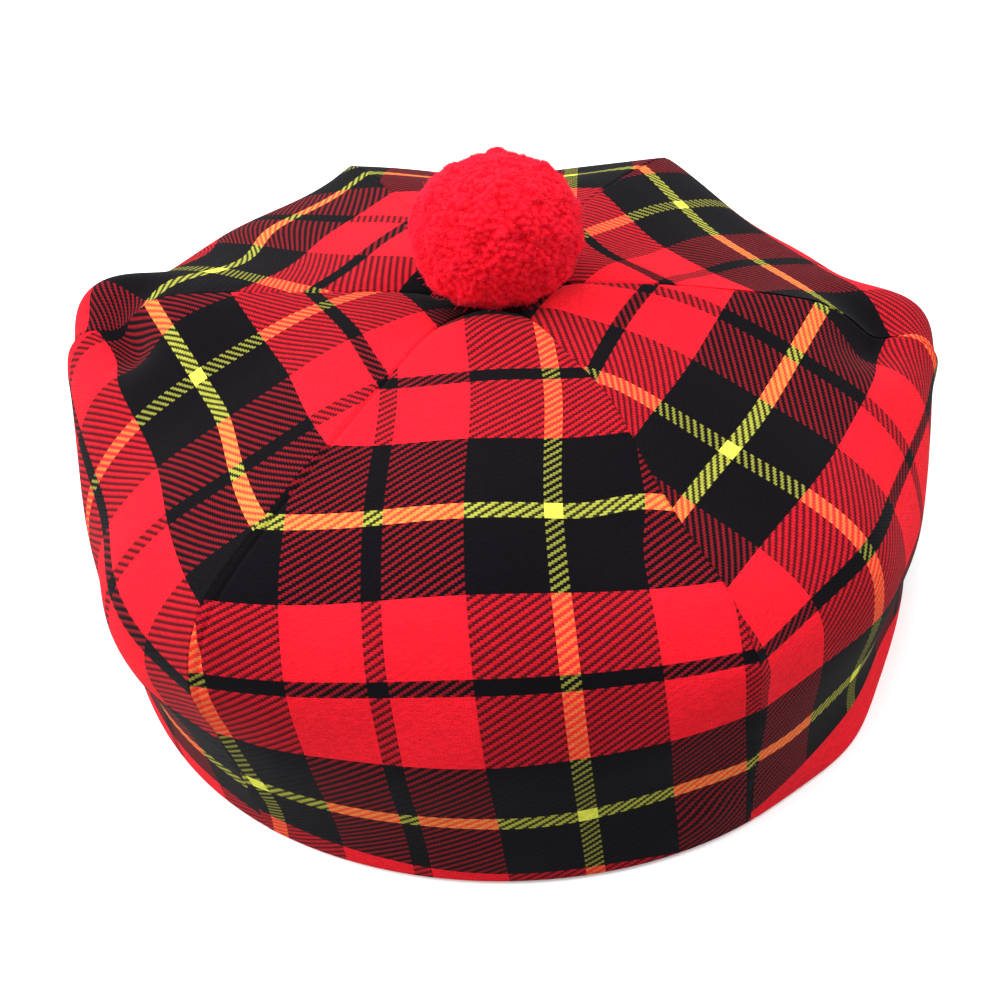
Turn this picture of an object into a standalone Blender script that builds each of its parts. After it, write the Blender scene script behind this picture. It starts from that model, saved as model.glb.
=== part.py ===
# Tam o' shanter: six tartan gores sewn into a stuffed crown that stands on its rim, and a pompom.
# Metres, +Z up, the hat's front towards -Y. The rim rests on z = 0 round the origin.
import math
import random

import bmesh
import bpy
from mathutils import Matrix, Vector

MM = 0.001

# Distances "along" a gore run down the cloth from the crown's centre. They are counted in half-setts
# of 33 mm: the spacing of the tartan's lines, from a black line to the next yellow one.
CLOTH_THICKNESS = 1.6 * MM
HEM_THICKNESS = 3.0 * MM
SEAM_GAP = 0.3 * MM
TIP_ALONG = 0.06
HEM_ALONG = 4.35
RIM_ALONG = 4.65
ROWS = 23
COLUMNS = 10


def table(columns, *rows):
    return [dict(zip(columns.split(), row)) for row in rows]


# The crown's form: the radius and height of a gore's middle line and of its seams, in mm.
FORM = table(
    "along middle_radius middle_height seam_radius seam_height",
    (0.00, 0.0, 71.0, 0.0, 71.0),
    (0.50, 15.0, 76.5, 17.0, 75.5),
    (1.05, 32.5, 75.5, 38.0, 75.5),
    (1.55, 48.5, 72.5, 56.0, 74.0),
    (2.05, 64.5, 68.5, 75.0, 71.0),
    (2.60, 81.0, 62.0, 93.0, 65.0),
    (3.05, 91.5, 52.5, 100.5, 53.0),
    (3.55, 97.5, 37.5, 100.5, 36.5),
    (4.05, 98.0, 20.0, 100.0, 20.0),
    (4.65, 99.0, 0.0, 99.0, 0.0),
)

# How the stuffing pushes the crown's edge out and up, in mm, at each seam and at each gore's middle.
# A gore lies between two seams, and the last gore closes the ring. A seam may drift round the crown
# by some degrees on its way out.
SEAMS = table(
    "azimuth drift out up",
    (-120, 0.0, 3.0, 0.0),
    (-60, 4.5, -4.5, -7.0),
    (0, 0.0, -1.5, -3.5),
    (60, 0.0, 1.0, -1.5),
    (117, 0.0, -0.5, 1.5),
    (180, 0.0, -1.0, 8.0),
)
GORES = table(
    "name out up",
    ("gore_front", 3.5, 4.5),
    ("gore_front_right", -0.5, -4.5),
    ("gore_back_right", 0.0, -1.5),
    ("gore_back", 0.0, 0.0),
    ("gore_back_left", 4.0, 3.5),
    ("gore_front_left", -1.5, 2.5),
)
PUSH_ALONG = 2.35
PUSH_REACH = 0.95
DRIFT_ALONG = 1.1
DRIFT_REACH = 0.55

# Folds pressed in, and swells pushed out, which have a depth below zero. The depth is in mm and the
# azimuth and the reach round the hat in degrees.
FOLDS = table(
    "azimuth along depth reach_round reach_along",
    (-176, 2.40, 8.5, 7.0, 0.26),
    (172, 2.75, -6.8, 5.0, 0.45),
    (154, 2.45, -1.4, 12.0, 0.40),
    (-2, 2.50, 7.0, 8.0, 0.29),
    (8, 3.05, -6.4, 6.0, 0.36),
    (28, 2.30, 1.0, 14.0, 0.40),
    (41, 2.95, 2.4, 12.0, 0.40),
    (-135, 3.20, -5.0, 12.0, 0.55),
    (-40, 3.15, -3.2, 10.0, 0.55),
    (30, 1.35, 3.0, 25.0, 0.60),
    (-150, 1.15, -2.0, 25.0, 0.60),
    (-64, 4.75, -1.4, 20.0, 0.50),
    (-43, 4.75, -2.3, 8.0, 0.35),
    (-20, 4.40, 1.2, 12.0, 0.60),
    (-32, 4.30, 1.8, 13.0, 0.30),
    (-150, 4.30, 0.9, 14.0, 0.60),
    (-78, 0.62, -3.2, 42.0, 0.26),
)

POMPOM_RADIUS = 18.5 * MM
POMPOM_CENTRE = Vector((3.6, 0.0, 89.7)) * MM
POMPOM_FLATTEN = 0.81
POMPOM_HEAD = 0.70
LOCK_WAIST = 0.90
LOCK_TIP_SIZE = 0.55
LOCK_LEAN = 0.10
POMPOM_SEAT = 76.0 * MM

TARTAN_COLOUR = (0.42, 0.02, 0.03, 1.0)
POMPOM_COLOUR = (0.80, 0.02, 0.04, 1.0)


def read_form(name, along):
    """Value of one column of the form at a distance along a gore, on a smooth curve through its rows."""
    where = [row["along"] for row in FORM]
    values = [row[name] for row in FORM]
    slopes = [(b - a) / (t - s) for a, b, s, t in zip(values, values[1:], where, where[1:])]
    index = max(i for i in range(len(slopes)) if along >= where[i] or i == 0)
    step = where[index + 1] - where[index]
    start_slope = (slopes[max(index - 1, 0)] + slopes[index]) / 2
    end_slope = (slopes[index] + slopes[min(index + 1, len(slopes) - 1)]) / 2
    t = (along - where[index]) / step
    return (values[index] * (2 * t**3 - 3 * t**2 + 1) + start_slope * step * (t**3 - 2 * t**2 + t)
            + values[index + 1] * (3 * t**2 - 2 * t**3) + end_slope * step * (t**3 - t**2))


def find_seams(gore):
    return SEAMS[gore], SEAMS[(gore + 1) % len(SEAMS)]


def find_azimuth(gore, across, along):
    """Azimuth in degrees at a place across a gore, from -1 at its first seam to 1 at its second."""
    drifting = math.exp(-((along - DRIFT_ALONG) / DRIFT_REACH) ** 2)
    first, second = (seam["azimuth"] + seam["drift"] * drifting for seam in find_seams(gore))
    return first + (second - first) % 360 * (across + 1) / 2


def read_push(gore, across, way):
    middle = GORES[gore][way]
    seam = find_seams(gore)[across > 0][way]
    return middle + (seam - middle) * (1 - math.cos(math.pi * across)) / 2


def read_fold(azimuth, along):
    depth = 0.0
    for fold in FOLDS:
        angle = (azimuth - fold["azimuth"] + 180) % 360 - 180
        apart = (angle / fold["reach_round"]) ** 2 + ((along - fold["along"]) / fold["reach_along"]) ** 2
        depth += fold["depth"] * math.exp(-apart)
    return depth * MM


def form_point(gore, across, along):
    """Radius and height of the cloth's outer face before it is folded in."""
    curved = across * across
    push = math.exp(-((along - PUSH_ALONG) / PUSH_REACH) ** 2)
    radius, height = (
        read_form("middle_" + name, along) * (1 - curved) + read_form("seam_" + name, along) * curved
        + read_push(gore, across, way) * push
        for name, way in (("radius", "out"), ("height", "up"))
    )
    return Vector((radius, height)) * MM


def cloth_point(gore, across, along, depth):
    """Radius and height at a depth below the cloth's outer face, with the folds pressed in."""
    run = form_point(gore, across, along + 0.02) - form_point(gore, across, along - 0.02)
    outward = Vector((-run.y, run.x)).normalized()
    fold = read_fold(find_azimuth(gore, across, along), along)
    return form_point(gore, across, along) - outward * (depth + fold)


def wall_thickness(along):
    t = min(max((along - HEM_ALONG) / 0.1, 0.0), 1.0)
    return CLOTH_THICKNESS + (HEM_THICKNESS - CLOTH_THICKNESS) * t * t * (3 - 2 * t)


def gore_section(gore, along):
    """Closed section of a gore: its outer face from seam to seam, then its inner face back again."""
    middle_angle = math.radians(find_azimuth(gore, 0, along))
    half_gore = math.radians(find_azimuth(gore, 1, along)) - middle_angle
    section = []
    for depth, order in ((0.0, 1), (wall_thickness(along), -1)):
        face = []
        for column in range(COLUMNS + 1):
            across = 2 * column / COLUMNS - 1
            radius, height = cloth_point(gore, across, along, depth)
            angle = middle_angle + (half_gore - math.asin(SEAM_GAP / 2 / radius)) * across
            height = 0.0 if along >= RIM_ALONG else height
            face.append(Vector((radius * math.cos(angle), radius * math.sin(angle), height)))
        section += face[::order]
    return section


def loft(name, sections):
    """Solid through closed sections that pair up point by point, outer half against inner half."""
    body = bmesh.new()
    rings = [[body.verts.new(point) for point in section] for section in sections]
    size = len(rings[0])
    for ring, following in zip(rings, rings[1:]):
        for i in range(size):
            j = (i + 1) % size
            body.faces.new((ring[i], ring[j], following[j], following[i]))
    for ring in (rings[0], rings[-1]):
        for i in range(size // 2 - 1):
            body.faces.new((ring[i], ring[i + 1], ring[size - 2 - i], ring[size - 1 - i]))
    bmesh.ops.recalc_face_normals(body, faces=body.faces)
    return finish_object(name, body)


def finish_object(name, body):
    mesh = bpy.data.meshes.new(name)
    body.to_mesh(mesh)
    body.free()
    mesh.shade_smooth()
    mesh.set_sharp_from_angle(angle=math.radians(40))
    part = bpy.data.objects.new(name, mesh)
    bpy.data.collections["tam_o_shanter"].objects.link(part)
    return part


def give_material(part, colour, roughness):
    material = bpy.data.materials.new(part.name)
    material.use_nodes = True
    shader = material.node_tree.nodes["Principled BSDF"]
    shader.inputs["Base Color"].default_value = colour
    shader.inputs["Roughness"].default_value = roughness
    shader.inputs["Metallic"].default_value = 0.0
    material.diffuse_color = colour
    part.data.materials.append(material)


def add_gore(gore):
    steps = [TIP_ALONG + (RIM_ALONG - TIP_ALONG) * row / ROWS for row in range(ROWS + 1)]
    part = loft(GORES[gore]["name"], [gore_section(gore, along) for along in steps])
    give_material(part, TARTAN_COLOUR, 0.9)


def add_pompom():
    """Head of packed yarn with a tapered lock drawn out of each of its faces, cut flat where it sits."""
    chance = random.Random(7)
    body = bmesh.new()
    bmesh.ops.create_icosphere(body, subdivisions=3, radius=POMPOM_RADIUS * POMPOM_HEAD)
    tops = list(body.faces)
    for reach, size, lean in ((0.87, LOCK_WAIST, 0.0), (1.0, LOCK_TIP_SIZE, LOCK_LEAN)):
        tops = bmesh.ops.extrude_discrete_faces(body, faces=tops)["faces"]
        for top in tops:
            middle = top.calc_center_median()
            sway = Vector([chance.uniform(-lean, lean) for _ in range(3)])
            target = (middle.normalized() + sway).normalized() * POMPOM_RADIUS * reach
            for corner in top.verts:
                corner.co = target + (corner.co - middle) * size * (reach * POMPOM_RADIUS / middle.length)
    body.transform(Matrix.Translation(POMPOM_CENTRE) @ Matrix.Diagonal((1.0, 1.0, POMPOM_FLATTEN, 1.0)))
    seat = Vector((0.0, 0.0, POMPOM_SEAT))
    cut = bmesh.ops.bisect_plane(body, geom=body.verts[:] + body.edges[:] + body.faces[:],
                                 plane_co=seat, plane_no=Vector((0.0, 0.0, 1.0)), clear_inner=True)
    edges = [item for item in cut["geom_cut"] if isinstance(item, bmesh.types.BMEdge)]
    bmesh.ops.holes_fill(body, edges=edges, sides=0)
    bmesh.ops.recalc_face_normals(body, faces=body.faces)
    part = finish_object("pompom", body)
    give_material(part, POMPOM_COLOUR, 0.95)


def main():
    for old in list(bpy.data.objects):
        bpy.data.objects.remove(old)
    collection = bpy.data.collections.new("tam_o_shanter")
    bpy.context.scene.collection.children.link(collection)
    for gore in range(len(GORES)):
        add_gore(gore)
    add_pompom()


main()
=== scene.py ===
import math

import bpy
import numpy as np
from mathutils import Matrix, Vector


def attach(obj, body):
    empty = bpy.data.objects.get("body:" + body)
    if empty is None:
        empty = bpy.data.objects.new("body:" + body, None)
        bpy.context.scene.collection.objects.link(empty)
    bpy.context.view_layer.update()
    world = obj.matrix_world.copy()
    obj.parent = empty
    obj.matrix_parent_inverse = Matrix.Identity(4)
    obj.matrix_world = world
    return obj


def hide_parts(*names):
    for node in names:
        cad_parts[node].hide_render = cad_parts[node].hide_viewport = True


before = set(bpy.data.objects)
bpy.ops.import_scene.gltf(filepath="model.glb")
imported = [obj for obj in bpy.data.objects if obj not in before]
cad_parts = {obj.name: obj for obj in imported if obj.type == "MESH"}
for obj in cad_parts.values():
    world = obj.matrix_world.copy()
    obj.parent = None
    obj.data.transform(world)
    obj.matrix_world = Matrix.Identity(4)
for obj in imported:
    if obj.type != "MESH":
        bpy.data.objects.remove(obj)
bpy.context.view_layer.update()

# Tam o' shanter: six tartan gores sewn into a full crown on an open rim, and a cut-yarn pompom.
# Distances along and across the cloth are in half-setts, the spacing of the tartan's lines.

mm = 0.001
scene = bpy.context.scene


def columns(names, *rows):
    # a table: each row holds one value for every name, and each name gets its column as an array
    return {name: np.array(values) for name, values in zip(names.split(), zip(*rows))}


# The crown's form, as in the frame. "Along" runs down a gore from the crown's centre, and "across"
# from -1 at the gore's first seam to 1 at its second.
crown = {
    "halfSett": 33 * mm,
    "tipAlong": 0.06,
    "hemAlong": 4.35,
    "rimAlong": 4.65,
    "hemStep": 0.02,          # the hem's edge takes this much of the way along
    "cloth": 1.6 * mm,        # thickness of the cloth, and of the turned hem
    "hem": 3.0 * mm,
    "pushAlong": 2.35,        # where the stuffing pushes most, and how far from there it reaches
    "pushReach": 0.95,
    "driftAlong": 1.1,        # the same for the seams' drift round the crown
    "driftReach": 0.55,
    "slopeStep": 0.02,        # half the length over which the form's slope is taken
}
# radius and height of a gore's middle line and of its seams, in mm
formTable = columns(
    "along middleRadius middleHeight seamRadius seamHeight",
    (0.00, 0.0, 71.0, 0.0, 71.0),
    (0.50, 15.0, 76.5, 17.0, 75.5),
    (1.05, 32.5, 75.5, 38.0, 75.5),
    (1.55, 48.5, 72.5, 56.0, 74.0),
    (2.05, 64.5, 68.5, 75.0, 71.0),
    (2.60, 81.0, 62.0, 93.0, 65.0),
    (3.05, 91.5, 52.5, 100.5, 53.0),
    (3.55, 97.5, 37.5, 100.5, 36.5),
    (4.05, 98.0, 20.0, 100.0, 20.0),
    (4.65, 99.0, 0.0, 99.0, 0.0),
)
# each seam's place and drift in degrees, and the stuffing's push out and up in mm, here and at the gores
seamTable = columns(
    "azimuth drift out up",
    (-120, 0.0, 3.0, 0.0),
    (-60, 4.5, -4.5, -7.0),
    (0, 0.0, -1.5, -3.5),
    (60, 0.0, 1.0, -1.5),
    (117, 0.0, -0.5, 1.5),
    (180, 0.0, -1.0, 8.0),
)
goreTable = columns(
    "node out up",
    ("gore_front", 3.5, 4.5),
    ("gore_front_right", -0.5, -4.5),
    ("gore_back_right", 0.0, -1.5),
    ("gore_back", 0.0, 0.0),
    ("gore_back_left", 4.0, 3.5),
    ("gore_front_left", -1.5, 2.5),
)
goreCount = len(goreTable["node"])
# hollows, and swells where the depth is below zero: the depth in mm, places and reaches round in degrees
foldTable = columns(
    "azimuth along depth reachRound reachAlong",
    (-176, 2.40, 8.5, 7.0, 0.26),
    (172, 2.75, -6.8, 5.0, 0.45),
    (154, 2.45, -1.4, 12.0, 0.40),
    (-2, 2.50, 7.0, 8.0, 0.29),
    (8, 3.05, -6.4, 6.0, 0.36),
    (28, 2.30, 1.0, 14.0, 0.40),
    (41, 2.95, 2.4, 12.0, 0.40),
    (-135, 3.20, -5.0, 12.0, 0.55),
    (-40, 3.15, -3.2, 10.0, 0.55),
    (30, 1.35, 3.0, 25.0, 0.60),
    (-150, 1.15, -2.0, 25.0, 0.60),
    (-64, 4.75, -1.4, 20.0, 0.50),
    (-43, 4.75, -2.3, 8.0, 0.35),
    (-20, 4.40, 1.2, 12.0, 0.60),
    (-32, 4.30, 1.8, 13.0, 0.30),
    (-150, 4.30, 0.9, 14.0, 0.60),
    (-78, 0.62, -3.2, 42.0, 0.26),
)


def smoothStep(x, start, end):
    # 0 up to the start, 1 from the end, and between them three times t squared less twice t cubed
    t = np.clip((x - start) / (end - start), 0, 1)
    return t * t * (3 - 2 * t)


def readForm(name, along):
    # a cubic between each two of the table's rows, whose slope at a row is the mean of the slopes on
    # both sides of it
    where, values = formTable["along"], formTable[name]
    slopes = np.diff(values) / np.diff(where)
    knots = (np.r_[slopes[0], slopes] + np.r_[slopes, slopes[-1]]) / 2
    i = np.clip(np.searchsorted(where, along, side="right") - 1, 0, len(slopes) - 1)
    step = where[i + 1] - where[i]
    t = (along - where[i]) / step
    return (values[i] * (2 * t**3 - 3 * t**2 + 1) + knots[i] * step * (t**3 - 2 * t**2 + t)
            + values[i + 1] * (3 * t**2 - 2 * t**3) + knots[i + 1] * step * (t**3 - t**2))


def goreAzimuth(gore, across, along):
    # degrees round the crown: a straight line from the gore's first seam to its second, each of which
    # drifts by a bell shape in the way along
    drifting = np.exp(-((along - crown["driftAlong"]) / crown["driftReach"]) ** 2)
    seams = (gore, (gore + 1) % goreCount)
    first, second = (seamTable["azimuth"][i] + seamTable["drift"][i] * drifting for i in seams)
    return first + (second - first) % 360 * (across + 1) / 2


def formPoint(gore, across, along):
    # radius and height in metres: the middle line and the seam mixed by the square of the way across,
    # with the pushes, mixed by a cosine, times a bell shape in the way along
    curved = across * across
    push = np.exp(-((along - crown["pushAlong"]) / crown["pushReach"]) ** 2)
    blend = (1 - np.cos(np.pi * across)) / 2
    found = []
    for kind, way in (("Radius", "out"), ("Height", "up")):
        seam = np.where(across > 0, seamTable[way][(gore + 1) % goreCount], seamTable[way][gore])
        middle = goreTable[way][gore]
        form = readForm("middle" + kind, along) * (1 - curved) + readForm("seam" + kind, along) * curved
        found.append((form + (middle + (seam - middle) * blend) * push) * mm)
    return found


def readFolds(azimuth, along):
    # depth in metres: the sum of the folds, each a bell shape in the angle round and the way along
    depth = np.zeros_like(azimuth)
    for at, where, deep, reachRound, reachAlong in zip(*foldTable.values()):
        angle = (azimuth - at + 180) % 360 - 180
        depth += deep * np.exp(-(angle / reachRound) ** 2 - ((along - where) / reachAlong) ** 2)
    return depth * mm


def clothPoint(gore, across, along, depth):
    # a place on the crown: the form, moved in by its depth along the form's own outward direction
    ahead = formPoint(gore, across, along + crown["slopeStep"])
    behind = formPoint(gore, across, along - crown["slopeStep"])
    runOut, runUp = ahead[0] - behind[0], ahead[1] - behind[1]
    size = np.hypot(runOut, runUp)
    radius, height = formPoint(gore, across, along)
    azimuth = goreAzimuth(gore, across, along)
    depth = depth + readFolds(azimuth, along)
    radius = radius + runUp / size * depth
    height = height - runOut / size * depth
    angle = np.radians(azimuth)
    return np.stack([radius * np.cos(angle), radius * np.sin(angle), height], axis=-1)


# The weave: a two-and-two twill whose threads change colour by the tartan's sett. The sett runs from
# 0 at a black line's middle, through red and black, to 1 at a yellow line's middle, and back again.
sett = {
    "radialBlackLine": 0.048,    # where the black line ends, on threads down the gore and round it
    "roundBlackLine": 0.040,
    "redMiddle": 0.25,
    "redEnd": 0.50,
    "yellowStart": 0.948,
    "radialThreads": 54.0,       # to a half-sett
    "roundThreads": 82.0,
    "red": (0.915, 0.125, 0.180),    # the three colours as a screen shows them
    "black": (0.075, 0.068, 0.082),
    "yellow": (0.890, 0.900, 0.330),
    # how much of a mixed patch's colour comes from the thread round the crown
    "roundShare": 0.64,
    "roundYellowShare": 0.41,
    "roundYellowOnRed": 0.37,
    "radialYellowShare": 0.74,
    "radialYellowOnRed": 0.74,
    "blackCoverAndShade": 0.11,           # and how much more of it a black thread takes than a red one: partly the black showing at a float's sides, partly painted shade between the threads
    "boldYellow": 0.06,          # added contrast of yellow on black, and of yellow on red
    "faintYellow": -0.20,
    "repeat": 4.0,               # threads to one repeat of the twill
    "floatEdge": 0.34,           # a float goes under beyond this share of its repeat, from its middle
    "floatFull": 0.21,           # and is wholly on top within this
    "hairScale": 70.0,           # how fine the wool's fibres are, and how detailed
    "hairDetail": 3.0,
    "hairTone": 0.55,            # how far fibres and single threads lighten or darken the colour
    "threadTone": 0.16,
    "threadHeight": 0.6,         # what threads, their bowed floats and fibres add to the height
    "bowHeight": 0.4,
    "hairHeight": 0.8,
    "screenGamma": 2.2,
}


def mathsOf(tree):
    # writes a Math node as a function call, with sockets or numbers for its inputs
    def calc(operation, *values):
        node = tree.nodes.new("ShaderNodeMath")
        node.operation = operation
        for socket, value in zip(node.inputs, values):
            if isinstance(value, (int, float)):
                socket.default_value = value
            else:
                tree.links.new(value, socket)
        return node.outputs[0]
    return calc


def settRamp(tree, where, blackLine):
    # the sett's colours in hard steps: black, red, black and yellow
    ramp = tree.nodes.new("ShaderNodeValToRGB")
    ramp.color_ramp.interpolation = "CONSTANT"
    stops = ramp.color_ramp.elements
    stops[0].position = 0.0
    stops[0].color = (*sett["black"], 1)
    stops[1].position = blackLine
    stops[1].color = (*sett["red"], 1)
    for place, name in ((sett["redEnd"], "black"), (sett["yellowStart"], "yellow")):
        stop = stops.new(place)
        stop.color = (*sett[name], 1)
    tree.links.new(where, ramp.inputs["Fac"])
    return ramp.outputs["Color"]


def isRed(calc, where, blackLine):
    # 1 between the black line and the end of red, and 0 elsewhere
    beyondLine = calc("GREATER_THAN", where, blackLine)
    return calc("MULTIPLY", beyondLine, calc("LESS_THAN", where, sett["redEnd"]))


def makeTwillGroup():
    # colour and height of the twill from cloth coordinates: x counts half-setts across, y along
    group = bpy.data.node_groups.new("Tartan twill", "ShaderNodeTree")
    for way, kind, name in (
        ("INPUT", "Vector", "Cloth"),
        ("INPUT", "Float", "Plain"),
        ("INPUT", "Float", "Float Contrast"),
        ("INPUT", "Float", "Wool"),
        ("OUTPUT", "Color", "Color"),
        ("OUTPUT", "Float", "Height"),
    ):
        group.interface.new_socket(name, in_out=way, socket_type="NodeSocket" + kind)
    nodes, links = group.nodes, group.links
    start, end = nodes.new("NodeGroupInput"), nodes.new("NodeGroupOutput")
    calc = mathsOf(group)
    split = nodes.new("ShaderNodeSeparateXYZ")
    links.new(start.outputs["Cloth"], split.inputs[0])
    radial = calc("MULTIPLY", split.outputs["X"], sett["radialThreads"])
    rounds = calc("MULTIPLY", split.outputs["Y"], sett["roundThreads"])
    radialIndex, roundIndex = calc("FLOOR", radial), calc("FLOOR", rounds)
    # the sett's colour is read at each thread's middle, so that it changes from thread to thread
    radialAt = calc("DIVIDE", calc("ADD", radialIndex, 0.5), sett["radialThreads"])
    roundAt = calc("DIVIDE", calc("ADD", roundIndex, 0.5), sett["roundThreads"])
    radialSett, roundSett = calc("PINGPONG", radialAt, 1.0), calc("PINGPONG", roundAt, 1.0)
    # a plain place has red radial threads wherever its round ones are red
    roundRed = isRed(calc, roundSett, sett["roundBlackLine"])
    plain = calc("MULTIPLY", calc("GREATER_THAN", start.outputs["Plain"], 0.5), roundRed)
    radialSett = calc("ADD", calc("MULTIPLY", radialSett, calc("SUBTRACT", 1.0, plain)),
                      calc("MULTIPLY", plain, sett["redMiddle"]))
    radialRed = isRed(calc, radialSett, sett["radialBlackLine"])
    # a float of the round thread covers a little more than two radial threads in four
    slant = calc("FRACT", calc("DIVIDE", calc("ADD", radial, roundIndex), sett["repeat"]))
    offFloat = calc("ABSOLUTE", calc("SUBTRACT", slant, 0.5))
    over = nodes.new("ShaderNodeMapRange")
    over.interpolation_type = "SMOOTHSTEP"
    links.new(offFloat, over.inputs["Value"])
    over.inputs["From Min"].default_value = sett["floatEdge"]
    over.inputs["From Max"].default_value = sett["floatFull"]
    share = over.outputs["Result"]
    # red with black shows soft diagonals, yellow with black bold dashes, and yellow with red faint ones
    radialYellow = calc("GREATER_THAN", radialSett, sett["yellowStart"])
    roundYellow = calc("GREATER_THAN", roundSett, sett["yellowStart"])
    yellows = calc("MAXIMUM", radialYellow, roundYellow)
    radialBlack = calc("SUBTRACT", calc("SUBTRACT", 1.0, radialRed), radialYellow)
    roundBlack = calc("SUBTRACT", calc("SUBTRACT", 1.0, roundRed), roundYellow)
    onBlack = calc("MAXIMUM", radialBlack, roundBlack)
    bold = calc("MULTIPLY", onBlack, sett["boldYellow"] - sett["faintYellow"])
    bold = calc("ADD", bold, sett["faintYellow"])
    contrast = calc("ADD", start.outputs["Float Contrast"], calc("MULTIPLY", yellows, bold))
    # the mean share of the round thread: a yellow thread's depends on whether it crosses red
    onRed = calc("MULTIPLY", roundRed, sett["radialYellowOnRed"] - sett["radialYellowShare"])
    radialMean = calc("ADD", onRed, sett["radialYellowShare"] - sett["roundShare"])
    onRed = calc("MULTIPLY", radialRed, sett["roundYellowOnRed"] - sett["roundYellowShare"])
    roundMean = calc("ADD", onRed, sett["roundYellowShare"] - sett["roundShare"])
    # a black thread takes more of the mix, partly by its cover and partly as painted shade between threads
    pull = calc("MULTIPLY", calc("SUBTRACT", roundBlack, radialBlack), calc("SUBTRACT", 1.0, yellows))
    pull = calc("ADD", calc("MULTIPLY", pull, sett["blackCoverAndShade"]), sett["roundShare"])
    radialMean = calc("MULTIPLY", radialYellow, radialMean)
    mean = calc("ADD", radialMean, calc("MULTIPLY", roundYellow, roundMean))
    mean = calc("ADD", mean, pull)
    mixing = calc("ADD", calc("MULTIPLY", calc("SUBTRACT", share, 0.5), contrast), mean)
    mix = nodes.new("ShaderNodeMix")
    mix.data_type = "RGBA"
    links.new(mixing, mix.inputs["Factor"])
    links.new(settRamp(group, radialSett, sett["radialBlackLine"]), mix.inputs["A"])
    links.new(settRamp(group, roundSett, sett["roundBlackLine"]), mix.inputs["B"])
    # each thread is a touch lighter or darker than the next, and wool fibres cloud them all
    hair = nodes.new("ShaderNodeTexNoise")
    hair.inputs["Scale"].default_value = sett["hairScale"]
    hair.inputs["Detail"].default_value = sett["hairDetail"]
    links.new(start.outputs["Cloth"], hair.inputs["Vector"])
    streak = nodes.new("ShaderNodeTexWhiteNoise")
    streak.noise_dimensions = "2D"
    pair = nodes.new("ShaderNodeCombineXYZ")
    floatIndex = calc("FLOOR", calc("DIVIDE", calc("ADD", radial, roundIndex), sett["repeat"] / 2))
    links.new(floatIndex, pair.inputs["X"])
    links.new(roundIndex, pair.inputs["Y"])
    links.new(pair.outputs[0], streak.inputs["Vector"])
    lift = calc("ADD", calc("MULTIPLY", calc("SUBTRACT", hair.outputs["Fac"], 0.5), sett["hairTone"]),
                calc("MULTIPLY", calc("SUBTRACT", streak.outputs["Value"], 0.5), sett["threadTone"]))
    tone = calc("ADD", calc("MULTIPLY", lift, start.outputs["Wool"]), 1.0)
    tinted = nodes.new("ShaderNodeVectorMath")
    tinted.operation = "SCALE"
    links.new(mix.outputs["Result"], tinted.inputs[0])
    links.new(tone, tinted.inputs["Scale"])
    gamma = nodes.new("ShaderNodeGamma")
    gamma.inputs["Gamma"].default_value = sett["screenGamma"]
    links.new(tinted.outputs[0], gamma.inputs["Color"])
    links.new(gamma.outputs["Color"], end.inputs["Color"])
    # height: the thread on top is round across, and each float bows along its length
    radialRound = calc("SINE", calc("MULTIPLY", calc("FRACT", radial), math.pi))
    roundRound = calc("SINE", calc("MULTIPLY", calc("FRACT", rounds), math.pi))
    top = calc("ADD", calc("MULTIPLY", roundRound, share),
               calc("MULTIPLY", radialRound, calc("SUBTRACT", 1.0, share)))
    bow = calc("COSINE", calc("MULTIPLY", offFloat, 4 * math.pi))
    height = calc("MULTIPLY", top, sett["threadHeight"])
    height = calc("ADD", height, calc("MULTIPLY", bow, sett["bowHeight"]))
    height = calc("ADD", height, calc("MULTIPLY", hair.outputs["Fac"], sett["hairHeight"]))
    links.new(height, end.inputs["Height"])
    return group


clothFinish = {
    "floatContrast": 0.50,    # between a float on top and one below
    "wool": 0.60,             # how much the fibres and threads vary in shade
    "bumpStrength": 0.45,
    "bumpDepth": 0.16 * mm,
    "surface": {
        "Roughness": 0.90,
        "Specular IOR Level": 0.04,
        "Sheen Weight": 0.03,
        "Sheen Roughness": 0.50,
    },
}


def newMaterial(name, surface):
    # a material whose shader takes the surface's values on its sockets of the same names
    material = bpy.data.materials.new(name)
    material.use_nodes = True
    shader = material.node_tree.nodes["Principled BSDF"]
    for socket, value in surface.items():
        shader.inputs[socket].default_value = value
    return material, shader


def makeTartan(twill):
    # the twill's colour and height, read from each gore's own cloth coordinates
    material, shader = newMaterial("Tartan twill cloth", clothFinish["surface"])
    nodes, links = material.node_tree.nodes, material.node_tree.links
    cloth = nodes.new("ShaderNodeUVMap")
    cloth.uv_map = "Cloth"
    weave = nodes.new("ShaderNodeGroup")
    weave.node_tree = twill
    weave.inputs["Float Contrast"].default_value = clothFinish["floatContrast"]
    weave.inputs["Wool"].default_value = clothFinish["wool"]
    links.new(cloth.outputs["UV"], weave.inputs["Cloth"])
    plain = nodes.new("ShaderNodeAttribute")
    plain.attribute_name = "Plain"
    links.new(plain.outputs["Fac"], weave.inputs["Plain"])
    links.new(weave.outputs["Color"], shader.inputs["Base Color"])
    bump = nodes.new("ShaderNodeBump")
    bump.inputs["Strength"].default_value = clothFinish["bumpStrength"]
    bump.inputs["Distance"].default_value = clothFinish["bumpDepth"]
    links.new(weave.outputs["Height"], bump.inputs["Height"])
    links.new(bump.outputs["Normal"], shader.inputs["Normal"])
    return material


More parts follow.
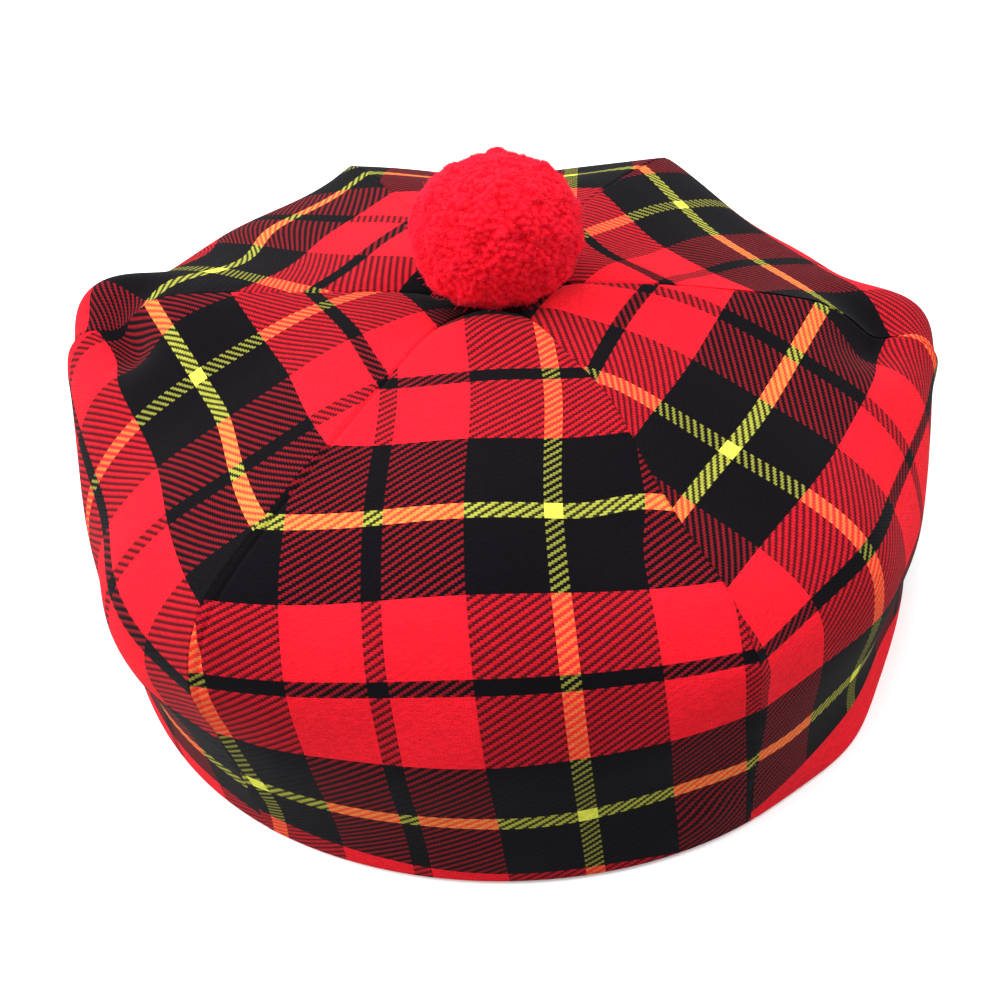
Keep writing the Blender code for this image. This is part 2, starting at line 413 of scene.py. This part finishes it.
goreCut = {
    "columns": 160,
    "rows": 190,
    "crowding": 0.75,         # how far the columns crowd towards the seams, from 0 to 1
    "rimRound": 1.5 * mm,     # radius of the fold at the rim
    "rimSteps": 10,
    "seamDepth": 0.35 * mm,   # how far the cloth dives into a seam, on the crown's top and on its wall
    "seamWallDepth": 0.06 * mm,
    "seamWallStart": 2.8,
    "seamWallEnd": 3.4,
    "seamReach": 0.45 * mm,
    "pillow": 0.22 * mm,      # and how much it sinks beside the seam
    "pillowReach": 4.0 * mm,
    "pucker": 0.05 * mm,      # small waves along a seam, uneven in length
    "puckerLength": 8.0 * mm,
    "puckerReach": 7.0 * mm,
    "puckerUneven": 3,
    "puckerUnevenLength": 30 * mm,
    "wave": 0.35 * mm,        # wide soft waves, which fade out towards the seams and the rim
    "waveLength": 35 * mm,
    "waveSeed": 40,
    "waveSeamFade": 12 * mm,
    "waveRimFade": 0.4,
    "allowance": 9.0 * mm,    # width of the seam allowance pressed open inside
    "allowanceThickness": 1.0 * mm,
    "allowanceEdge": 0.6 * mm,
    "settStart": 1.056,       # the first black line's distance from the crown's centre
    "layMiddle": 2.5,
    "bendEnd": 0.88,          # the bend goes no further down than this from there
    "shadedCentreLimit": -0.94,         # black in place of the last yellow line at the crown's very centre: painted shade under the pompom
    "hemRiseStart": 4.08,     # where the hem begins to carry the pattern up, and where it has done so
    "hemRiseEnd": 4.50,
    "plainStart": 4.16,       # where a plain hem's radial lines stop
    "plainFade": 0.04,
    "turnedShift": 0.1,       # how far the pattern runs on from the outer face to the turned hem
    "sharpAngle": 50,
}

# How the tartan lies on each gore, in half-setts: the radial black line's place off the gore's middle,
# how it leans and bends, how the cloth spreads, and how the lines round the crown rise, draw out, tilt,
# dish and twist. All are counted from the gore's middle at layMiddle. A gore with a plain hem shows no
# radial lines on it. Folds shift the pattern aside or up near a place on a gore: shiftTable gives how
# far. Near the rim the turned hem carries the pattern up as well, by hemTable, whose places and reaches
# are in degrees round the rim.
layTable = columns(
    "line lean bend spread rise draw tilt dish twist plainHem",
    (-0.54, 0.040, 0.0, 0.018, 0.005, -0.005, 0.0, -0.017, -0.005, 0),
    (0.54, -0.045, -0.078, 0.006, 0.025, 0.020, 0.010, 0.005, 0.058, 1),
    (-0.43, -0.07, -0.165, 0.085, 0.010, 0.035, 0.0, 0.045, 0.09, 0),
    (0.45, 0.0, 0.0, 0.0, 0.0, 0.0, 0.0, 0.0, 0.0, 0),
    (-0.34, 0.015, -0.050, -0.080, -0.01, 0.0, 0.025, 0.03, 0.0, 0),
    (0.68, -0.015, -0.030, 0.030, -0.014, 0.0, 0.0, 0.013, 0.016, 0),
)
shiftTable = columns(
    "gore across along reach aside up",
    (0, 0.93, 2.00, 0.24, 0.05, 0.06),
    (0, -1.45, 4.30, 0.40, 0.10, 0.0),
    (4, 0.45, 1.85, 0.42, 0.0, 0.22),
    (4, 0.35, 2.40, 0.30, 0.0, 0.28),
)
hemTable = columns(
    "azimuth rise reach",
    (-36, 0.28, 20.0),
    (-63, -0.18, 9.0),
    (-140, 0.25, 30.0),
)


def waves(x, y, seed, length):
    # soft uneven waves: a third of the sum of six sine waves, each with its own direction and phase, and
    # with a length of 0.7 to 1.6 of the one asked for
    chance = np.random.default_rng(seed)
    total = np.zeros_like(x)
    for _ in range(6):
        turn, phase = chance.uniform(0, 2 * math.pi, 2)
        size = length * chance.uniform(0.7, 1.6)
        total += np.sin(2 * math.pi * (x * math.cos(turn) + y * math.sin(turn)) / size + phase)
    return total / 3


def acrossInHalfSetts(gore, across, along):
    # length of cloth from the gore's middle line, added up along each row
    face = clothPoint(gore, across, along, 0.0)
    steps = np.linalg.norm(np.diff(face, axis=1), axis=-1)
    lengths = np.concatenate([np.zeros((len(face), 1)), np.cumsum(steps, axis=1)], axis=1)
    middle = lengths[:, lengths.shape[1] // 2:lengths.shape[1] // 2 + 1]
    return (lengths - middle) / crown["halfSett"]


def layTartan(gore, across, along, hemRise):
    # cloth coordinates: the radial lines run at whole numbers of x, the lines round the crown of y.
    # Each is the place on the gore less the lay's own square or straight-line terms, and the shifts are
    # bell shapes
    lay = {name: values[gore] for name, values in layTable.items()}
    t = along - goreCut["layMiddle"]
    bent = np.minimum(t, goreCut["bendEnd"])
    x = across * (1 - lay["spread"] * t) - lay["line"] - lay["lean"] * t - lay["bend"] * bent * bent
    y = along - lay["rise"] - lay["draw"] * t
    y = y - lay["tilt"] * across - lay["dish"] * across * across - lay["twist"] * across * t
    for shifted, atAcross, atAlong, reach, aside, up in zip(*shiftTable.values()):
        near = np.exp(-((across - atAcross) / reach) ** 2 - ((along - atAlong) / reach) ** 2)
        near = (shifted == gore) * near
        x, y = x - aside * near, y + up * near
    y = y + hemRise - goreCut["settStart"]
    # near the crown's centre the pattern stops in black, painted shade under the pompom
    return np.stack([x, np.maximum(y, goreCut["shadedCentreLimit"])], axis=-1)


def makeGore(gore, tartan):
    # one gore: two faces that follow the crown's form at their own depths and meet in a fold at the rim
    cut = goreCut
    node = str(goreTable["node"][gore])
    # rows run down the outer face, round the fold at the rim and up the inner face
    lastAlong = crown["rimAlong"] - cut["rimRound"] / crown["halfSett"]
    down = np.linspace(crown["tipAlong"], lastAlong, cut["rows"])
    turn = np.linspace(0, math.pi, cut["rimSteps"] + 1)[1:-1]
    steps = np.linspace(-1, 1, cut["columns"] + 1)
    across = np.sin(steps * math.pi / 2) * cut["crowding"] + steps * (1 - cut["crowding"])
    acrossGrid, alongGrid = np.meshgrid(across, down)
    cloth = acrossInHalfSetts(gore, acrossGrid, alongGrid)
    halfWidth = cloth[:, -1:]
    toSeam = (halfWidth - np.abs(cloth)) * crown["halfSett"]
    downLength = alongGrid * crown["halfSett"]
    # the outer face: the cloth dives into its seams, and puckers a little along them
    onWall = smoothStep(alongGrid, cut["seamWallStart"], cut["seamWallEnd"])
    seamDepth = cut["seamDepth"] + (cut["seamWallDepth"] - cut["seamDepth"]) * onWall
    seamFall = seamDepth * np.exp(-(toSeam / cut["seamReach"]) ** 2) \
        + cut["pillow"] * (1 - onWall) * np.exp(-(toSeam / cut["pillowReach"]) ** 2)
    uneven = cut["puckerUneven"] * waves(downLength, downLength, gore, cut["puckerUnevenLength"])
    pucker = cut["pucker"] * np.exp(-(toSeam / cut["puckerReach"]) ** 2) \
        * np.sin(2 * math.pi * downLength / cut["puckerLength"] + uneven)
    acrossLength = cloth * crown["halfSett"]
    soft = cut["wave"] * waves(acrossLength, downLength, cut["waveSeed"] + gore, cut["waveLength"]) \
        * smoothStep(toSeam, 0, cut["waveSeamFade"]) \
        * smoothStep(crown["rimAlong"] - alongGrid, 0.0, cut["waveRimFade"])
    outer = clothPoint(gore, acrossGrid, alongGrid, seamFall + pucker + soft)
    # the inner face: a cloth's thickness in, with the turned hem and the pressed seam allowances
    hem = smoothStep(alongGrid, crown["hemAlong"], crown["hemAlong"] + crown["hemStep"])
    thickness = crown["cloth"] + (crown["hem"] - crown["cloth"]) * hem
    allowance = smoothStep(cut["allowance"] - toSeam, 0, cut["allowanceEdge"])
    allowance = cut["allowanceThickness"] * allowance * (1 - hem)
    inner = clothPoint(gore, acrossGrid, alongGrid, thickness + allowance + soft + pucker)
    # the fold at the rim: half a circle from the outer face to the inner face
    outEdge, inEdge = outer[-1], inner[-1]
    centre = (outEdge + inEdge) / 2
    arm = outEdge - centre
    drop = np.zeros_like(arm)
    drop[:, 2] = -centre[:, 2]
    fold = centre + np.cos(turn)[:, None, None] * arm + np.sin(turn)[:, None, None] * drop
    grid = np.concatenate([outer, fold, inner[::-1]])
    # cloth coordinates follow the outer face round the fold, then up the turned hem
    around = lastAlong + cut["rimRound"] / crown["halfSett"] * turn
    turnedRows = 2 * crown["rimAlong"] + cut["turnedShift"] - down
    backRows = np.where(down > crown["hemAlong"], turnedRows, down)[::-1]
    alongAll = np.concatenate([down, around, backRows])
    acrossAll = np.concatenate([cloth, np.repeat(cloth[-1:], len(turn), axis=0), cloth[::-1]])
    alongWide = np.repeat(alongAll[:, None], len(across), axis=1)
    azimuth = goreAzimuth(gore, np.repeat(across[None], len(alongAll), axis=0), crown["rimAlong"])
    hemRise = sum(rise * np.exp(-(((azimuth - at + 180) % 360 - 180) / reach) ** 2)
                  for at, rise, reach in zip(*hemTable.values()))
    hemRise = hemRise * smoothStep(alongWide, cut["hemRiseStart"], cut["hemRiseEnd"])
    uvGrid = layTartan(gore, acrossAll, alongWide, hemRise)
    plainEnd = cut["plainStart"] + cut["plainFade"]
    plain = layTable["plainHem"][gore] * smoothStep(alongWide, cut["plainStart"], plainEnd)
    piece = closedCloth(node + "_cloth", grid, uvGrid, tartan)
    layer = piece.data.attributes.new("Plain", "FLOAT", "POINT")
    layer.data.foreach_set("value", plain.astype(np.float32).ravel())
    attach(piece, "root")
    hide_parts(node)


def closedCloth(name, grid, uvGrid, material):
    # a grid of rows round the cloth's edge: its two faces, its two long sides and its tip, all closed.
    # The faces point outwards when the volume summed over their corners isn't below zero
    rows, width = grid.shape[:2]
    index = np.arange(rows * width).reshape(rows, width)
    quads = [np.stack([index[:-1, :-1], index[:-1, 1:], index[1:, 1:], index[1:, :-1]], -1).reshape(-1, 4)]
    half = rows // 2
    for column, flip in ((0, False), (width - 1, True)):
        side = index[:, column]
        back = side[::-1]
        strip = np.stack([side[:half - 1], side[1:half], back[1:half], back[:half - 1]], -1)
        quads.append(strip[:, ::-1] if flip else strip)
    tip, end = index[0], index[-1]
    quads.append(np.stack([tip[1:], tip[:-1], end[:-1], end[1:]], -1))
    faces = np.concatenate(quads)
    points = grid.reshape(-1, 3)
    corner = points[faces]
    volume = np.einsum("ij,ij->i", corner[:, 0], np.cross(corner[:, 1], corner[:, 2])).sum() \
        + np.einsum("ij,ij->i", corner[:, 0], np.cross(corner[:, 2], corner[:, 3])).sum()
    if volume < 0:
        faces = faces[:, ::-1]
    mesh = newMesh(name, points, faces)
    layer = mesh.uv_layers.new(name="Cloth")
    layer.data.foreach_set("uv", uvGrid.reshape(-1, 2)[faces.ravel()].astype(np.float32).ravel())
    mesh.shade_smooth()
    mesh.set_sharp_from_angle(angle=math.radians(goreCut["sharpAngle"]))
    mesh.materials.append(material)
    return newObject(name, mesh)


def newMesh(name, points, faces):
    # a mesh of points and of faces that all have the same number of corners
    mesh = bpy.data.meshes.new(name)
    corners = faces.shape[1]
    mesh.vertices.add(len(points))
    mesh.vertices.foreach_set("co", np.ascontiguousarray(points, dtype=np.float32).ravel())
    mesh.loops.add(faces.size)
    mesh.loops.foreach_set("vertex_index", np.ascontiguousarray(faces, dtype=np.int32).ravel())
    mesh.polygons.add(len(faces))
    mesh.polygons.foreach_set("loop_start", np.arange(0, faces.size, corners, dtype=np.int32))
    mesh.update(calc_edges=True)
    return mesh


def newObject(name, mesh):
    # the mesh at the origin, unturned
    piece = bpy.data.objects.new(name, mesh)
    scene.collection.objects.link(piece)
    return piece


pompom = {
    "centre": (3.6 * mm, 0.0, 89.7 * mm),
    "radius": 18.4 * mm,
    "flatten": 0.81,
    "squareAbove": 2.04,      # 2 is an ellipse's outline, and above it the outline grows squarer
    "squareBelow": 2.50,
    "seat": 76.0 * mm,        # height of its flat underside
    "heart": 0.975,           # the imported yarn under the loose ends, as a share of the radius
    "heartRows": 190,
    "heartColumns": 380,
    "tufts": 2300,            # cut ends of yarn, each a small soft bump
    "tuftJitter": 0.030,
    "tuftReach": 0.62,        # half a tuft's width, as a share of the spacing
    "tuftRise": 0.54 * mm,    # from the crease round a tuft to its top
    "tuftUneven": 0.23 * mm,
    "lump": 0.42 * mm,        # and they stand in soft lumps of this height and width
    "lumpSize": 6.5 * mm,
    "lumpWaves": 9,
    "strands": 7000,          # in each of the pile's pieces
    "piles": 5,
    "pileTurn": 1.3,          # each piece's places are turned from the last one's by this, in radians
    "strandJitter": 0.012,
    "strandRoot": 0.84,       # where a strand starts, bends and ends, as shares of the radius
    "strandBend": 0.95,
    "strandEnd": 0.980,
    "strandEndUneven": 0.008,
    "thick": 0.070 * mm,
    "strandTaper": (0.9, 1.0, 0.6),
    "clumpPull": 0.45,        # how far a strand's end leans to the middle of its tuft
    "frizz": 0.022,           # and to any side, and how much of that its bend takes
    "bendFrizz": 0.6,
    "lockWay": (0.044, 0.673, 0.739),    # one lock stands up longer than the rest
    "lockReach": 0.13,
    "lockRise": 1.9 * mm,
    "strayShare": 0.006,      # and a few strands stick out
    "strayRise": 1.3 * mm,
    # the root's tone is painted shade deep in the pile; the tip's is the yarn's own red
    "rootShadeTone": (0.66, 0.001, 0.010),
    "tipTone": (1.0, 0.014, 0.034),
    "strandShadeSteps": (0.3, 0.8, 1.0),    # painted shade: from the root's dark tone to the tip's, at a strand's three places
    "creaseShade": 0.15,       # and on the heart: painted shade in the creases, and how much painted light is added at a tuft's top
    "tuftTopLight": 0.75,
    "dullest": 0.90,          # each tuft and strand has its own brightness, from this up
    "brighter": 0.20,
    "surface": {              # a share of the light passes through the wool under its surface
        "Roughness": 0.90,
        "Specular IOR Level": 0.03,
        "Sheen Weight": 0.06,
        "Sheen Roughness": 0.35,
        "Subsurface Weight": 0.45,
        "Subsurface Radius": (1.0 * mm, 0.06 * mm, 0.09 * mm),
        "Subsurface Scale": 1.0,
    },
}


def spherePoints(count, turned=0):
    # even directions: equal steps in height on a ball, each turned by the golden angle from the last
    n = np.arange(count) + 0.5
    height = 1 - 2 * n / count
    turn = n * math.pi * (3 - math.sqrt(5)) + turned
    flat = np.sqrt(1 - height**2)
    return np.stack([flat * np.cos(turn), flat * np.sin(turn), height], axis=-1)


def unit(vectors):
    # each vector divided by its length
    return vectors / np.linalg.norm(vectors, axis=-1, keepdims=True)


def nearestTuft(ways, tufts):
    # each direction's nearest tuft, the one with the largest dot product, and the angle to it
    found, angle = [], []
    batches = 12    # to save memory
    for part in np.array_split(ways, batches):
        near = part @ tufts.T
        best = np.argmax(near, axis=1)
        found.append(best)
        angle.append(np.arccos(np.clip(near[np.arange(len(part)), best], -1, 1)))
    return np.concatenate(found), np.concatenate(angle)


def squatBall(ways, reach):
    # a flattened ball, a little square, cut flat where it sits on the crown. Each direction is made so
    # long that its flat part and its tall part, both raised to the power, add up to 1
    flat, tall = np.hypot(ways[..., 0], ways[..., 1]), np.abs(ways[..., 2])
    power = np.where(ways[..., 2] > 0, pompom["squareAbove"], pompom["squareBelow"])
    square = (flat ** power + tall ** power) ** (-1 / power)
    points = ways * np.array([1, 1, pompom["flatten"]]) * reach * square[..., None]
    points = points + np.array(pompom["centre"])
    points[..., 2] = np.maximum(points[..., 2], pompom["seat"])
    return points


def lumpsAt(ways):
    # height in metres by direction: soft lumps, a sum of sine waves over the ball, and the one lock
    chance = np.random.default_rng(11)
    count = pompom["lumpWaves"]
    turns = unit(chance.normal(0, 1, (count, 3)))
    sizes = pompom["lumpSize"] * chance.uniform(0.7, 1.5, count)
    phases = chance.uniform(0, 2 * math.pi, count)
    rise = np.sin(2 * math.pi * pompom["radius"] * (ways @ turns.T) / sizes + phases).sum(axis=1) / 3
    away = np.linalg.norm(ways - np.array(pompom["lockWay"]), axis=1) / pompom["lockReach"]
    return pompom["lump"] * rise + pompom["lockRise"] * np.exp(-away ** 6)


def makeYarn():
    # wool coloured by the strand coordinates' y, from a painted shade at the root to the tip's own red, each
    # strand as bright as their x
    material, shader = newMaterial("Pompom yarn", pompom["surface"])
    nodes, links = material.node_tree.nodes, material.node_tree.links
    strand = nodes.new("ShaderNodeUVMap")
    strand.uv_map = "Strand"
    split = nodes.new("ShaderNodeSeparateXYZ")
    links.new(strand.outputs["UV"], split.inputs[0])
    ramp = nodes.new("ShaderNodeValToRGB")
    ramp.color_ramp.elements[0].color = (*pompom["rootShadeTone"], 1)
    ramp.color_ramp.elements[1].color = (*pompom["tipTone"], 1)
    links.new(split.outputs["Y"], ramp.inputs["Fac"])
    shade = nodes.new("ShaderNodeHueSaturation")
    calc = mathsOf(material.node_tree)
    brightness = calc("ADD", calc("MULTIPLY", split.outputs["X"], pompom["brighter"]), pompom["dullest"])
    links.new(brightness, shade.inputs["Value"])
    links.new(ramp.outputs["Color"], shade.inputs["Color"])
    links.new(shade.outputs["Color"], shader.inputs["Base Color"])
    return material


def makePompomHeart(yarn, tufts, uneven):
    # a ball whose radius rises in a rounded bump over each tuft: 1 less the square of the angle to the
    # tuft, counted in tuftReach of the spacing
    rows, width = pompom["heartRows"], pompom["heartColumns"]
    falls, turns = np.linspace(0, math.pi, rows), np.arange(width) * 2 * math.pi / width
    fall, turn = np.meshgrid(falls, turns, indexing="ij")
    ways = np.stack([np.sin(fall) * np.cos(turn), np.sin(fall) * np.sin(turn), np.cos(fall)], -1)
    ways = ways.reshape(-1, 3)
    tuft, angle = nearestTuft(ways, tufts)
    spacing = math.sqrt(4 * math.pi / len(tufts))
    bump = 1 - np.clip(angle / (pompom["tuftReach"] * spacing), 0, 1) ** 2
    reach = pompom["radius"] * pompom["heart"] + pompom["tuftRise"] * (bump - 1)
    reach = reach + uneven[tuft] + lumpsAt(ways)
    index = np.arange(rows * width).reshape(rows, width)
    ahead = np.roll(index, -1, axis=1)
    faces = np.stack([index[:-1], index[1:], ahead[1:], ahead[:-1]], -1).reshape(-1, 4)
    mesh = newMesh("pompom_heart", squatBall(ways, reach[:, None]), faces)
    layer = mesh.uv_layers.new(name="Strand")
    tone = np.random.default_rng(9).uniform(0, 1, len(tufts))[tuft]
    # painted shade in the creases between tufts, painted light on their tops
    uv = np.stack([tone, pompom["creaseShade"] + pompom["tuftTopLight"] * bump], -1)[faces.ravel()]
    layer.data.foreach_set("uv", uv.astype(np.float32).ravel())
    mesh.shade_smooth()
    mesh.materials.append(yarn)
    return newObject("pompom_heart", mesh)


def makePile(number, yarn, tufts, uneven):
    # strands: tapered three-sided tubes through three places each, drawn towards the middles of their
    # tufts, with both ends closed
    chance = np.random.default_rng(100 + number)
    count = pompom["strands"]
    evenWays = spherePoints(count, turned=number * pompom["pileTurn"])
    way = unit(evenWays + chance.normal(0, pompom["strandJitter"], evenWays.shape))
    tuft = nearestTuft(way, tufts)[0]
    frizz = chance.normal(0, pompom["frizz"], way.shape)
    tip = unit(way + (tufts[tuft] - way) * pompom["clumpPull"] + frizz)
    middle = unit(way + chance.normal(0, pompom["frizz"] * pompom["bendFrizz"], way.shape))
    stray = chance.uniform(0, 1, count) < pompom["strayShare"]
    reach = pompom["radius"] * chance.normal(pompom["strandEnd"], pompom["strandEndUneven"], count)
    reach = reach + uneven[tuft] + lumpsAt(way) + pompom["strayRise"] * stray
    start = squatBall(way, pompom["radius"] * pompom["strandRoot"])
    bend = squatBall(middle, reach[:, None] * pompom["strandBend"])
    line = np.stack([start, bend, squatBall(tip, reach[:, None])], axis=1)
    side = unit(np.cross(way, chance.normal(0, 1, way.shape)))
    other = np.cross(way, side)
    thick = pompom["thick"] * np.array(pompom["strandTaper"])
    stops, sides = line.shape[1], 3
    turns = np.arange(sides) * 2 * math.pi / sides
    ring = side[:, None, :] * np.cos(turns)[None, :, None] + other[:, None, :] * np.sin(turns)[None, :, None]
    points = line[:, :, None, :] + ring[:, None, :, :] * thick[None, :, None, None]
    index = np.arange(count * stops * sides).reshape(count, stops, sides)
    ahead = np.roll(index, -1, axis=2)
    walls = np.stack([index[:, :-1], ahead[:, :-1], ahead[:, 1:], index[:, 1:]], -1).reshape(-1, 4)
    walls = np.concatenate([walls[:, [0, 1, 2]], walls[:, [0, 2, 3]]])
    faces = np.concatenate([walls, index[:, 2], index[:, 0, ::-1]])
    mesh = newMesh(f"pompom_pile_{number}", points.reshape(-1, 3), faces)
    layer = mesh.uv_layers.new(name="Strand")
    tone = np.repeat(chance.uniform(0, 1, count), stops * sides)
    # painted shade: each strand darker towards its root
    upward = np.tile(np.repeat(pompom["strandShadeSteps"], sides), count)
    uv = np.stack([tone, upward], -1)[faces.ravel()]
    layer.data.foreach_set("uv", uv.astype(np.float32).ravel())
    mesh.shade_smooth()
    mesh.materials.append(yarn)
    return newObject(f"pompom_pile_{number}", mesh)


def makePompom():
    # the tufts point in even directions, each moved a little by chance
    yarn = makeYarn()
    chance = np.random.default_rng(7)
    evenWays = spherePoints(pompom["tufts"])
    tufts = unit(evenWays + chance.normal(0, pompom["tuftJitter"], evenWays.shape))
    uneven = chance.uniform(-1, 1, len(tufts)) * pompom["tuftUneven"]
    pieces = [makePompomHeart(yarn, tufts, uneven)]
    pieces += [makePile(number, yarn, tufts, uneven) for number in range(pompom["piles"])]
    for piece in pieces:
        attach(piece, "root")
        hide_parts("pompom")


studio = {
    "floorSize": 8.0,
    "floorColour": (0.95, 0.95, 0.95, 1),
    "floorSurface": {"Roughness": 0.9, "Specular IOR Level": 0.1, "Emission Color": (1, 1, 1, 1)},
    "floorGlow": 0.25,        # how much of its light the floor gives back to the hat
    "floorShine": 0.14,       # light of its own that only the camera sees, so that shadows stay faint
    "skyColour": (1, 1, 1, 1),
    "skyStrength": 0.50,
    "lampTarget": (0, 0, 0.04),
    "lamps": (                # name, size, power, place
        ("left", 0.9, 22.0, (-1.10, -0.10, 1.00)),
        ("right", 0.9, 11.0, (1.15, 0.20, 0.95)),
        ("top", 1.0, 13.0, (-0.10, 0.15, 1.45)),
        ("front", 1.2, 4.6, (-0.35, -1.25, 0.90)),
    ),
}


def makeStudio():
    bpy.ops.mesh.primitive_plane_add(size=studio["floorSize"])
    floor = bpy.context.object
    floor.name = "floor"
    # the floor is white to look at, and dimmer in the light that it throws back up
    material, shader = newMaterial("Pale floor", studio["floorSurface"])
    nodes, links = material.node_tree.nodes, material.node_tree.links
    path = nodes.new("ShaderNodeLightPath")
    shade = nodes.new("ShaderNodeMix")
    shade.data_type = "RGBA"
    links.new(path.outputs["Is Diffuse Ray"], shade.inputs["Factor"])
    shade.inputs["A"].default_value = studio["floorColour"]
    shade.inputs["B"].default_value = (*[studio["floorGlow"]] * 3, 1)
    links.new(shade.outputs["Result"], shader.inputs["Base Color"])
    calc = mathsOf(material.node_tree)
    shine = calc("MULTIPLY", path.outputs["Is Camera Ray"], studio["floorShine"])
    links.new(shine, shader.inputs["Emission Strength"])
    floor.data.materials.append(material)
    world = bpy.data.worlds.new("Studio sky")
    world.use_nodes = True
    sky = world.node_tree.nodes["Background"]
    sky.inputs["Color"].default_value = studio["skyColour"]
    sky.inputs["Strength"].default_value = studio["skyStrength"]
    scene.world = world
    for name, size, power, place in studio["lamps"]:
        lamp = bpy.data.lights.new(name, "AREA")
        lamp.size = size
        lamp.energy = power
        holder = bpy.data.objects.new(name, lamp)
        holder.location = place
        aim = Vector(studio["lampTarget"]) - Vector(place)
        holder.rotation_euler = aim.to_track_quat("-Z", "Y").to_euler()
        scene.collection.objects.link(holder)
    scene.view_settings.view_transform = "Standard"
    scene.view_settings.look = "None"


shot = {
    "azimuth": -84.42,        # of the camera, seen from the target, in degrees
    "elevation": 41.97,
    "distance": 265.6 * mm,
    "target": (0.0, -18.6 * mm, 29.8 * mm),
    "roll": -6.28,
    "lens": 41.03,            # in millimetres, on a sensor as wide as this
    "sensor": 36.0,
    "clipStart": 0.01,
}


def makeCamera():
    # its place and its own three axes from the angles, rolled about the line of sight
    turn, rise = math.radians(shot["azimuth"]), math.radians(shot["elevation"])
    back = Vector((math.cos(turn) * math.cos(rise), math.sin(turn) * math.cos(rise), math.sin(rise)))
    right = Vector((0, 0, 1)).cross(back).normalized()
    up = back.cross(right)
    roll = math.radians(shot["roll"])
    rolledRight = right * math.cos(roll) + up * math.sin(roll)
    rolledUp = up * math.cos(roll) - right * math.sin(roll)
    place = Vector(shot["target"]) + back * shot["distance"]
    lens = bpy.data.cameras.new("Photo view")
    lens.lens = shot["lens"]
    lens.sensor_width = shot["sensor"]
    lens.clip_start = shot["clipStart"]
    camera = bpy.data.objects.new("Photo view", lens)
    turned = Matrix((rolledRight, rolledUp, back)).transposed()
    camera.matrix_world = Matrix.Translation(place) @ turned.to_4x4()
    scene.collection.objects.link(camera)
    scene.camera = camera


twill = makeTwillGroup()
tartan = makeTartan(twill)
print("cloth material ready")
for gore in range(goreCount):
    makeGore(gore, tartan)
print("gores sewn")
makePompom()
print("pompom tied on")
makeStudio()
makeCamera()
print("studio and camera set")
